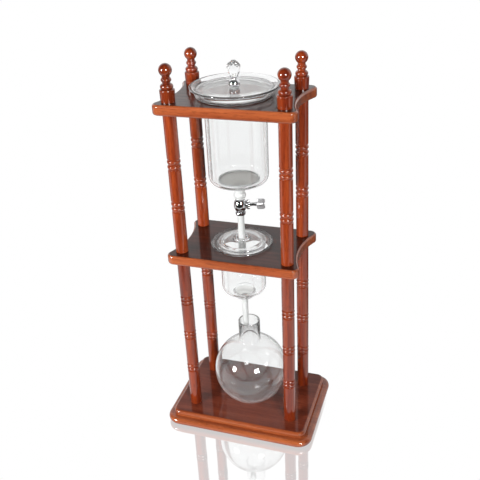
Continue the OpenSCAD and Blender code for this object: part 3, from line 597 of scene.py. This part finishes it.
CHAMBER_FOOT = heights("chamber_seat")[0]
CHAMBER_R = 33.65
CHAMBER_WALL = 2.2
CHAMBER_CORNER_R = 11
CHAMBER_DEPTH = 81.8
CHAMBER_FLOOR = MIDDLE_SHELF_TOP - CHAMBER_DEPTH
SEAT_H = 10.0
SEAT_FLOOR = CHAMBER_FLOOR - SEAT_H
SEAT_R = 17.0
SEAT_CORNER_R = 4
SEAT_SHOULDER_R = 1.2
NIPPLE_R = 3.0
NIPPLE_BORE_R = 1.5
NIPPLE_ROOT_R = 1.5
NIPPLE_CHAMFER = 0.6
FLARE_R = 4.0
LIP_R = 5
LIP_REACH = 4


def make_chamber():
    """Cylinder with a narrower seat and a nipple below, flared into a lip on the middle shelf."""
    foot = CHAMBER_FOOT
    nipple = (
        [(NIPPLE_BORE_R, foot), (NIPPLE_R - NIPPLE_CHAMFER, foot), (NIPPLE_R, foot + NIPPLE_CHAMFER)]
        + arc(NIPPLE_R + NIPPLE_ROOT_R, SEAT_FLOOR - NIPPLE_ROOT_R, NIPPLE_ROOT_R, 180, 90, 5)
    )
    line = (
        arc(SEAT_R - SEAT_CORNER_R, SEAT_FLOOR + SEAT_CORNER_R, SEAT_CORNER_R, -90, 0, 8)
        + arc(SEAT_R + SEAT_SHOULDER_R, CHAMBER_FLOOR - SEAT_SHOULDER_R, SEAT_SHOULDER_R, 180, 90, 5)
        + arc(CHAMBER_R - CHAMBER_CORNER_R, CHAMBER_FLOOR + CHAMBER_CORNER_R, CHAMBER_CORNER_R, -90, 0)
        + arc(CHAMBER_R + FLARE_R, MIDDLE_SHELF_TOP - FLARE_R, FLARE_R, 180, 90, 8)
        + arc(CHAMBER_R + FLARE_R + LIP_REACH, MIDDLE_SHELF_TOP + LIP_R, LIP_R, -90, -38, 6)
    )
    profile = walled(nipple, line, CHAMBER_WALL, [(NIPPLE_BORE_R, SEAT_FLOOR + CHAMBER_WALL)])
    nodes = ["coffee_chamber", "chamber_lip", "chamber_seat"]
    lathe_piece("chamber_glass", "coffee_chamber", "clear_glass", nodes, profile)


make_chamber()

# ---------------------------------------------------------------- lids

BEAD_R = 1.4


def make_top_lid():
    """Dished disc with a bead around its edge."""
    r = radius_of("top_lid")
    low, high = heights("top_lid")
    bead_z = high - BEAD_R
    wall, hole_r, flat_r, dish_r = 2.4, 2.5, 36, 20
    under = (
        [(hole_r, low), (flat_r, low)]
        + arc(flat_r, low + dish_r, dish_r, -88, -78, 4)
        + [(r - BEAD_R - 1.2, bead_z - BEAD_R + 0.2)]
    )
    bead = arc(r - BEAD_R, bead_z, BEAD_R, -100, 110, 12)
    profile = under + bead + moved_left(under, wall)[::-1]
    lathe_piece("top_lid_glass", "top_lid", "clear_glass", ["top_lid"], profile)


def make_chamber_lid():
    """Shallow dome with a beaded edge, a skirt inside the chamber and a collar around the drip tube."""
    r = radius_of("chamber_lid")
    skirt_low = heights("chamber_lid_skirt")[0]
    collar_top = heights("chamber_lid_collar")[1]
    wall, chamfer = 2.2, 0.5
    bead_z = skirt_low + 4
    crown = bead_z + 3
    skirt_r, collar_r, hole_r = 30.3, 13.0, 8.25
    slope_r, slope_z = collar_r + 9, crown - 1
    inside_r = skirt_r - wall
    profile = (
        [(hole_r, crown), (collar_r, crown), (slope_r, slope_z), (inside_r - 1, bead_z + 0.7)]
        + [(inside_r, skirt_low + chamfer), (inside_r + chamfer, skirt_low)]
        + [(skirt_r - chamfer, skirt_low), (skirt_r, skirt_low + chamfer)]
        + [(skirt_r, bead_z - 0.6), (skirt_r + 2, bead_z - 1)]
        + arc(r - BEAD_R, bead_z, BEAD_R, -110, 110, 14)
        + [(r - 6, bead_z + wall), (slope_r, slope_z + wall), (collar_r + 0.6, crown + wall + 0.2)]
        + arc(collar_r - BEAD_R, collar_top - BEAD_R, BEAD_R, 0, 90, 6)
        + arc(hole_r + 1, collar_top - 1, 1, 90, 180, 5)
    )
    nodes = ["chamber_lid", "chamber_lid_skirt", "chamber_lid_collar"]
    lathe_piece("chamber_lid_glass", "chamber_lid", "clear_glass", nodes, profile)


make_top_lid()
make_chamber_lid()

# ---------------------------------------------------------------- flask

FLASK_LOW, FLASK_HIGH = mm_box("flask_ball")
FLASK_CENTRE_H = 53
FLASK_CENTRE_Z = BASE_TOP + FLASK_CENTRE_H
FLASK_WALL = 2.0
BALL_STEPS = 72
NECK_BLEND_R = 3.0
NECK_ROUND = 1.0


def make_flask():
    """Round flask with a flat foot; a fillet blends its ball into the neck."""
    ball_r, neck_r = radius_of("flask_ball"), radius_of("flask_neck")
    neck_top = heights("flask_neck")[1] - NECK_ROUND
    blend_from_centre = ball_r + NECK_BLEND_R
    join_angle = math.degrees(math.acos((neck_r + NECK_BLEND_R) / blend_from_centre))
    join_z = FLASK_CENTRE_Z + blend_from_centre * math.sin(math.radians(join_angle))

    def face(depth, foot_z):
        """Line of the glass's face that lies this deep in the wall, from its foot up to the rim."""
        r = ball_r - depth
        foot_angle = math.degrees(math.asin((foot_z - FLASK_CENTRE_Z) / r))
        blend = arc(neck_r + NECK_BLEND_R, join_z, NECK_BLEND_R + depth, 180 + join_angle, 180, 6)
        return (
            [(0, foot_z)]
            + arc(0, FLASK_CENTRE_Z, r, foot_angle, join_angle, BALL_STEPS)
            + blend[1:]
            + [(neck_r - depth, neck_top)]
        )

    outer = face(0, BASE_TOP + AIR)
    inner = face(FLASK_WALL, BASE_TOP + FLASK_WALL)
    profile = outer + round_lip(outer[-1], inner[-1]) + inner[::-1]
    flask_line = Matrix.Translation(((FLASK_LOW.x + FLASK_HIGH.x) / 2 * MM, 0, 0))
    nodes = ["flask_ball", "flask_neck"]
    lathe_piece("flask_glass", "flask", "clear_glass", nodes, profile, flask_line)


make_flask()

# ---------------------------------------------------------------- knob


def make_bell():
    """Chrome foot of the knob: a bulb below, a groove, and a plate under the crystal."""
    low, high = heights("knob_bell")
    r = radius_of("knob_bell")
    bore_r, foot_r, step_r, plate_r = 2.1, 4.2, 4.6, 5.3
    waist_r, groove_r = 3.3, 4.4
    profile = (
        [(bore_r, low), (foot_r, low), (foot_r + 0.3, low + 0.3)]
        + arc(r - 5.2, low + 5, 5.15, -62, 56, 16)
        + [(step_r + 0.5, low + 9.5), (step_r, low + 9.6)]
        + arc(waist_r + groove_r, high - 2.5, groove_r, 206, 150, 10)
        + [(step_r, high - 0.5), (plate_r, high - 0.2), (plate_r, high), (step_r, high), (bore_r, high)]
    )
    lathe_piece("knob_bell_turned", "top_lid", "chrome", ["knob_bell"], profile)


CRYSTAL_SIDES = 10
# Latitude in degrees of each ring of corners, and whether it is turned half a side
CRYSTAL_RINGS = ((-47, 1), (-30, 0), (-12, 1), (6, 0), (24, 1), (42, 0), (60, 1))
CRYSTAL_FOOT_R = 5.2
CRYSTAL_TABLE_R = 2.6
# Keeps the corners a hair inside the ball
CORNER_SHARE = 0.995
FACET_ANGLE = math.radians(1)


def make_crystal():
    """Cut ball: rows of facets between rings of corners, each ring turned half a side."""
    low, high = heights("knob_crystal")
    radius = radius_of("knob_crystal")
    centre = high - radius
    rings = [(low, CRYSTAL_FOOT_R, 0)]
    for latitude, turn in CRYSTAL_RINGS:
        angle = math.radians(latitude)
        rings.append((centre + radius * math.sin(angle), radius * CORNER_SHARE * math.cos(angle), turn))
    rings.append((high, CRYSTAL_TABLE_R, 0))
    bm = bmesh.new()
    for z, r, turn in rings:
        for k in range(CRYSTAL_SIDES):
            turned_vertex(bm, GLASS_LINE, r, z, 2 * math.pi * (k + turn / 2) / CRYSTAL_SIDES)
    hull = bmesh.ops.convex_hull(bm, input=bm.verts)
    bmesh.ops.delete(bm, geom=hull["geom_interior"], context="VERTS")
    bmesh.ops.dissolve_limit(bm, angle_limit=FACET_ANGLE, verts=bm.verts, edges=bm.edges)
    piece = finish_piece(bm, "crystal_cut", "top_lid", "crystal", ["knob_crystal"])
    piece.data.set_sharp_from_angle(angle=FACET_ANGLE)


make_bell()
make_crystal()

# ---------------------------------------------------------------- tap

TAP_TURN = math.radians(20)
TAP_AXIS_H = 347.6
TAP_AXIS_Z = BASE_TOP + TAP_AXIS_H
BARREL_H = 20.8
BARREL_R = 9.3
BARREL_BULGE_R = 15.5
# Places the pieces on the handle's line, which is their Z, outwards from the barrel's middle
ALONG_HANDLE = (
    Matrix.Translation((GLASS_X * MM, 0, TAP_AXIS_Z * MM))
    @ Matrix.Rotation(TAP_TURN, 4, "Z")
    @ Matrix.Rotation(math.pi / 2, 4, "Y")
)


def make_tap_body():
    """Barrel with a stem above, an outlet below and a boss for the handle at its side."""
    outlet_low, stem_top = heights("tap_body")
    low, high = TAP_AXIS_Z - BARREL_H / 2, TAP_AXIS_Z + BARREL_H / 2
    outlet_r, shoulder_r, bead_r, stem_r = 2.7, 6.5, 6.8, 5.0
    profile = (
        [(1.7, outlet_low), (outlet_r - 0.2, outlet_low), (outlet_r, outlet_low + 0.4), (outlet_r, low)]
        + [(shoulder_r - 0.9, low), (shoulder_r - 0.3, low + 0.5), (shoulder_r, low + 1.6)]
        + arc(BARREL_R - BARREL_BULGE_R, TAP_AXIS_Z, BARREL_BULGE_R, -33, 33, 20)
        + [(shoulder_r, high - 1.6), (bead_r, high - 1.2), (bead_r, high - 0.4), (bead_r - 0.5, high)]
        + [(stem_r, high), (stem_r, stem_top - 0.5), (stem_r - 0.4, stem_top), (2.0, stem_top)]
    )
    bore_r, boss_r, boss_low, boss_end = 3.0, 6.0, 4, 9.2
    boss = [
        (bore_r, boss_low),
        (boss_r, boss_low),
        (boss_r, boss_end - 0.8),
        (boss_r - 0.4, boss_end - 0.4),
        (boss_r - 0.4, boss_end - 0.1),
        (bore_r, boss_end),
    ]
    bm = bmesh.new()
    add_lathe(bm, profile, GLASS_LINE)
    add_lathe(bm, boss, ALONG_HANDLE)
    finish_piece(bm, "tap_barrel", "water_vessel", "chrome", ["tap_body"])


NOTCH_STEPS = 12
# Under 1 the notches are broad and the ribs between them narrow
NOTCH_BREADTH = 0.6


def notched_ring(name, node, place, profile_of, notches, depth):
    """Grip collar: a turned ring with a scalloped rim; profile_of(dip) is its closed profile there."""
    turns = notches * NOTCH_STEPS
    bm = bmesh.new()
    slices = []
    for k in range(turns):
        phase = 2 * math.pi * (k % NOTCH_STEPS) / NOTCH_STEPS
        dip = depth * max(0.0, math.cos(phase)) ** NOTCH_BREADTH
        angle = 2 * math.pi * k / turns
        slices.append([turned_vertex(bm, place, r, z, angle) for r, z in profile_of(dip)])
    skin(bm, slices)
    finish_piece(bm, name, "water_vessel", "chrome", [node])


def make_collars():
    """The nut that holds the drip tube, and the gland nut around the handle's spindle."""
    low, high = heights("tap_nozzle_nut")

    def nozzle(dip):
        bore_r, low_r, belly_r, high_r = 4.95, 6.9, 7.55, 7.2
        return [
            (bore_r, low),
            (low_r - 0.7 - dip * 0.5, low),
            (low_r - dip, low + 0.7),
            (belly_r - dip, high - 1.2),
            (high_r - dip * 0.6, high - 0.3),
            (high_r - 0.6, high),
            (bore_r, high),
        ]

    notched_ring("nozzle_grip", "tap_nozzle_nut", GLASS_LINE, nozzle, 12, 1.0)

    def gland(dip):
        bore_r, rim_r, start, end = 2.9, 7.1, 9.2, 13.8
        return [
            (bore_r, start),
            (rim_r - 0.7, start),
            (rim_r - dip, start + 0.6),
            (rim_r - dip, end - 0.7),
            (rim_r - 0.8, end),
            (bore_r + 1.3, end),
            (bore_r, end - 0.3),
        ]

    notched_ring("gland_grip", "tap_gland_nut", ALONG_HANDLE, gland, 14, 0.6)


def make_spindle():
    """Spindle and its plug; a thin turned ring marks where the wing begins."""
    plug_r, stem_r, ring_r = 3.9, 2.7, 3.1
    plug_start, plug_end, ring_start, ring_end, end = -7.6, 6.9, 21.9, 23.0, 31.5
    profile = [
        (0, plug_start),
        (plug_r, plug_start),
        (plug_r, plug_end),
        (stem_r, plug_end + 0.2),
        (stem_r, ring_start - 0.3),
        (ring_r, ring_start),
        (ring_r, ring_end),
        (stem_r, ring_end + 0.4),
        (stem_r, end),
        (0, end),
    ]
    lathe_piece("spindle_turned", "tap_handle", "chrome", ["tap_spindle"], profile, ALONG_HANDLE)


WING_HALF_W = 8.1
WING_HALF_L = 6.1
WING_HALF_T = 2.3
WING_LOBE_R = 3.0
WING_CENTRE = 29.95
# Share of the half thickness and of the outline's size at each layer, from one face to the other
WING_LAYERS = ((-1, 0.86), (-0.62, 0.975), (0, 1.0), (0.62, 0.975), (1, 0.86))
HUB_TURNS = 48


def wing_outline():
    """Dog-bone outline: a lobe on the right, the waist above, and both again turned half round."""
    lobe_x, lobe_y = WING_HALF_W - WING_LOBE_R, WING_HALF_L - WING_LOBE_R
    lobe = (
        arc(lobe_x, -lobe_y, WING_LOBE_R, -90, 0, 6)
        + arc(lobe_x, lobe_y, WING_LOBE_R, 0, 90, 6)
    )
    waist = ((2.9, 0.1), (1.6, 1.1), (0, 1.5), (-1.6, 1.1), (-2.9, 0.1))
    half = lobe + [(x, WING_HALF_L - dip) for x, dip in waist]
    return half + [(-x, -y) for x, y in half]


def make_wing():
    """Cast wing handle: a dog-bone plate with rounded lobes, softened all over, on a round hub."""
    bm = bmesh.new()
    rings = []
    for depth, shrink in WING_LAYERS:
        ring = [
            Vector((x * shrink * MM, depth * WING_HALF_T * MM, (WING_CENTRE + y * shrink) * MM))
            for x, y in wing_outline()
        ]
        rings.append([bm.verts.new(ALONG_HANDLE @ point) for point in ring])
    skin(bm, rings, closed=False)
    bm.faces.new(rings[0][::-1])
    bm.faces.new(rings[-1])
    hub_r, start, end = 3.95, 23.9, 33.6
    hub = [
        (0, start),
        (hub_r - 0.35, start),
        (hub_r, start + 0.4),
        (hub_r, end - 3.6),
        (hub_r - 0.55, end - 0.6),
        (0, end),
    ]
    add_lathe(bm, hub, ALONG_HANDLE, HUB_TURNS)
    # Cast and tumbled, so that it shines more softly than the turned parts
    finish_piece(bm, "wing_cast", "tap_handle", "chrome", ["tap_wing"], "satin_chrome")


make_tap_body()
make_collars()
make_spindle()
make_wing()

# ---------------------------------------------------------------- soft pieces and the filter

GASKET_HOLE_R = 9.3


def make_coupler():
    """Soft sleeve that joins the vessel's spout to the tap: a belly below and a neck above."""
    low, high = heights("vessel_coupler")
    bore_r, foot_r, belly_r, neck_r = 5.05, 7.5, 8.9, 7.8
    profile = (
        [(bore_r, low), (foot_r - 0.5, low), (foot_r, low + 0.5)]
        + arc(belly_r - 6, low + 6, 6, -50, 40, 12)
        + arc(neck_r + 2, low + 13.2, 2, 200, 180, 3)
        + [(neck_r, high - 1.2), (neck_r - 0.3, high - 0.4), (neck_r - 1, high), (bore_r, high)]
    )
    lathe_piece("coupler_sleeve", "water_vessel", "silicone", ["vessel_coupler"], profile)


def make_filter():
    """Ceramic disc and its seal; a hair of air parts them from each other and from the glass."""
    edge_r = 0.5
    low, high = heights("ceramic_filter")
    low += AIR
    r = radius_of("ceramic_filter") - AIR
    disc = (
        [(0, low)]
        + arc(r - edge_r, low + edge_r, edge_r, -90, 0, 4)
        + arc(r - edge_r, high - edge_r, edge_r, 0, 90, 4)
        + [(0, high)]
    )
    lathe_piece("filter_disc", "coffee_chamber", "ceramic", ["ceramic_filter"], disc)
    low, high = heights("filter_gasket")
    low, high = low + AIR, high - AIR
    inner_r, outer_r = GASKET_HOLE_R + AIR, radius_of("filter_gasket") - AIR
    seal = [(inner_r, low), (outer_r, low), (outer_r, high), (inner_r, high)]
    # A thin ring of silicone hardly shows inside the glass, so its look is a clearer one
    nodes = ["filter_gasket"]
    lathe_piece("filter_seal", "coffee_chamber", "silicone", nodes, seal, look="clear_silicone")


def make_tube(name, node, body, top_r, end_r, bore_r):
    """Hose that widens or narrows evenly from its top down to its end."""
    low, high = heights(node)
    profile = [
        (bore_r, low + 0.3),
        (bore_r + 0.3, low),
        (end_r - 0.4, low),
        (end_r, low + 0.4),
        ((end_r + top_r) / 2, (low + high) / 2),
        (top_r, high - 0.4),
        (top_r - 0.3, high),
        (bore_r, high),
    ]
    lathe_piece(name, body, "silicone", [node], profile)


def make_strainer_seal():
    """Light ring around the strainer's cloth."""
    low, high = heights("strainer_ring")
    low += AIR
    outer_r, outer_round, inner_r, inner_round = 30.0, 1.2, 27.0, 0.8
    ring = (
        arc(outer_r - outer_round, low + outer_round, outer_round, -90, 0, 6)
        + arc(outer_r - outer_round, high - outer_round, outer_round, 0, 90, 6)
        + arc(inner_r + inner_round, high - inner_round, inner_round, 90, 180, 5)
        + arc(inner_r + inner_round, low + inner_round, inner_round, 180, 270, 5)
    )
    lathe_piece("strainer_seal", "water_vessel", "silicone", ["strainer_ring"], ring)


make_coupler()
make_filter()
make_tube("drip_hose", "drip_tube", "water_vessel", 4.8, 5.7, 2.75)
make_tube("outlet_hose", "outlet_tube", "coffee_chamber", 4.7, 4.7, 2.5)
make_strainer_seal()

# ---------------------------------------------------------------- CAD pieces that keep their shape


def dress_cad_nodes():
    """Gives every CAD node the material of its slot; the upper posts get a lighter copy of the post
    wood instead, which is painted light.
    """
    slots = {entry["node"]: entry["material_slot"] for entry in frame["record"]["subparts"]}
    for name, node in frame["nodes"].items():
        # Painted light: the upper posts show brighter than the lower ones, so they get a lighter copy
        # of the post wood
        look = "top_post_wood" if name.startswith("upper_post") else slots[name]
        node.data.materials.clear()
        node.data.materials.append(MATERIALS[look])


dress_cad_nodes()

# ---------------------------------------------------------------- floor

TABLE_HALF = 6.0
# In gloss, the table's brightness goes from one level to the other over each of these spans of Y
TABLE_FRONT_Y = (-0.62, -0.4)
TABLE_FRONT_LEVEL = (0.02, 0.85)
TABLE_BACK_Y = (0.02, 0.3)
TABLE_BACK_LEVEL = (1, 0.12)
TABLE_LIT_LEVEL = 0.3
# The polished oval: stretched and moved like this it is round, and it fades out between two radii
POLISH_STRETCH = (1.1, 1, 1)
POLISH_SHIFT = (0, 0.1, 0)
POLISH_REACH = (0.15, 0.21)
POLISH_SHARE = 0.42
POLISH_ROUGHNESS = 0.03
SHADOW_SHARE = 0.06
TABLE_WHITE = (0.95, 0.95, 0.95, 1)


def white_table():
    """White to the camera, with a soft shadow and polished under and in front of the object.

    Seen in the object's gloss it is white only near the object: the room is dim in front and behind.
    """
    material = bpy.data.materials.new("white_table")
    material.use_nodes = True
    material.node_tree.nodes.clear()
    graph = Graph(material.node_tree)
    place = graph.object_place()
    depth = graph.split(place)["Y"]
    front = graph.mapped(depth, *TABLE_FRONT_Y, *TABLE_FRONT_LEVEL)
    back = graph.mapped(depth, *TABLE_BACK_Y, *TABLE_BACK_LEVEL)
    strength, direct = graph.ray_level(TABLE_LIT_LEVEL, graph.math("MULTIPLY", front, back))

    spot = graph.add("ShaderNodeVectorMath", operation="MULTIPLY_ADD")
    for socket, value in zip(spot.inputs, (place, POLISH_STRETCH, POLISH_SHIFT)):
        graph.feed(socket, value)
    reach = graph.add("ShaderNodeVectorMath", operation="LENGTH", vector=spot.outputs[0])
    polish = graph.mapped(reach.outputs["Value"], *POLISH_REACH, POLISH_SHARE, 0)
    shine = graph.math("MULTIPLY", direct, polish)
    shade = graph.math("MULTIPLY", shine, SHADOW_SHARE / POLISH_SHARE)

    white = graph.add("ShaderNodeEmission", strength=strength)
    diffuse = graph.add("ShaderNodeBsdfDiffuse", color=TABLE_WHITE)
    mirror = graph.add("ShaderNodeBsdfGlossy", color=(1, 1, 1, 1), roughness=POLISH_ROUGHNESS)
    surface = graph.covered(shine, graph.covered(shade, white, diffuse), mirror)
    graph.add("ShaderNodeOutputMaterial", surface=surface.outputs[0])
    return material


def make_floor():
    bm = bmesh.new()
    for x, y in ((-1, -1), (1, -1), (1, 1), (-1, 1)):
        bm.verts.new((x * TABLE_HALF, y * TABLE_HALF, 0))
    bm.faces.new(bm.verts[:])
    mesh = bpy.data.meshes.new("table_top")
    bm.to_mesh(mesh)
    bm.free()
    floor = bpy.data.objects.new("table_top", mesh)
    bpy.context.scene.collection.objects.link(floor)
    mesh.materials.append(white_table())


# ---------------------------------------------------------------- light and world

# In gloss, the world goes from one level in front to the other on the backdrop, by direction
GLOSS_LEVEL = (0.03, 1.05)
BACKDROP_Y = (-0.1, 0.55)
# Towards the zenith the backdrop dims
OVERHEAD_Z = (0.7, 0.95)
OVERHEAD_SHARE = (1, 0.15)
# What lights the object is brighter at the horizon than overhead
LIT_Z = (0, 0.9)
LIT_LEVEL = (0.2, 0.03)

LAMP_TARGET = Vector((0, 0, 0.3))
LAMP_DISTANCE = 2.2
LAMP_SIZE = 0.5


def make_world():
    """White to the camera and through glass, and in gloss where the backdrop stands.

    Gloss sees a dim room in front and overhead. Soft light comes from all sides.
    """
    world = bpy.data.worlds.new("studio")
    bpy.context.scene.world = world
    world.use_nodes = True
    world.node_tree.nodes.clear()
    graph = Graph(world.node_tree)
    direction = graph.split(graph.add("ShaderNodeTexCoord").outputs["Generated"])
    behind = graph.mapped(direction["Y"], *BACKDROP_Y, 0, 1)
    overhead = graph.mapped(direction["Z"], *OVERHEAD_Z, *OVERHEAD_SHARE)
    backdrop = graph.math("MULTIPLY", behind, overhead)
    gloss = graph.mapped(backdrop, 0, 1, *GLOSS_LEVEL, "LINEAR")
    lit = graph.mapped(direction["Z"], *LIT_Z, *LIT_LEVEL, "LINEAR")
    strength = graph.ray_level(lit, gloss)[0]
    back = graph.add("ShaderNodeBackground", color=(1, 1, 1, 1), strength=strength)
    graph.add("ShaderNodeOutputWorld", surface=back.outputs[0])


def make_lamp(name, direction, power):
    """Square lamp in this direction from the middle of the object, shining back at it."""
    data = bpy.data.lights.new(name, "AREA")
    data.shape = "SQUARE"
    data.size = LAMP_SIZE
    data.energy = power
    lamp = bpy.data.objects.new(name, data)
    lamp.location = LAMP_TARGET + Vector(direction).normalized() * LAMP_DISTANCE
    lamp.rotation_mode = "QUATERNION"
    lamp.rotation_quaternion = (lamp.location - LAMP_TARGET).to_track_quat("Z", "Y")
    bpy.context.scene.collection.objects.link(lamp)


make_floor()
make_world()
make_lamp("lamp_left", (-0.63, -0.75, 0.22), 62)
make_lamp("lamp_right", (0.57, -0.76, 0.31), 50)

bpy.context.scene.view_settings.view_transform = "Standard"
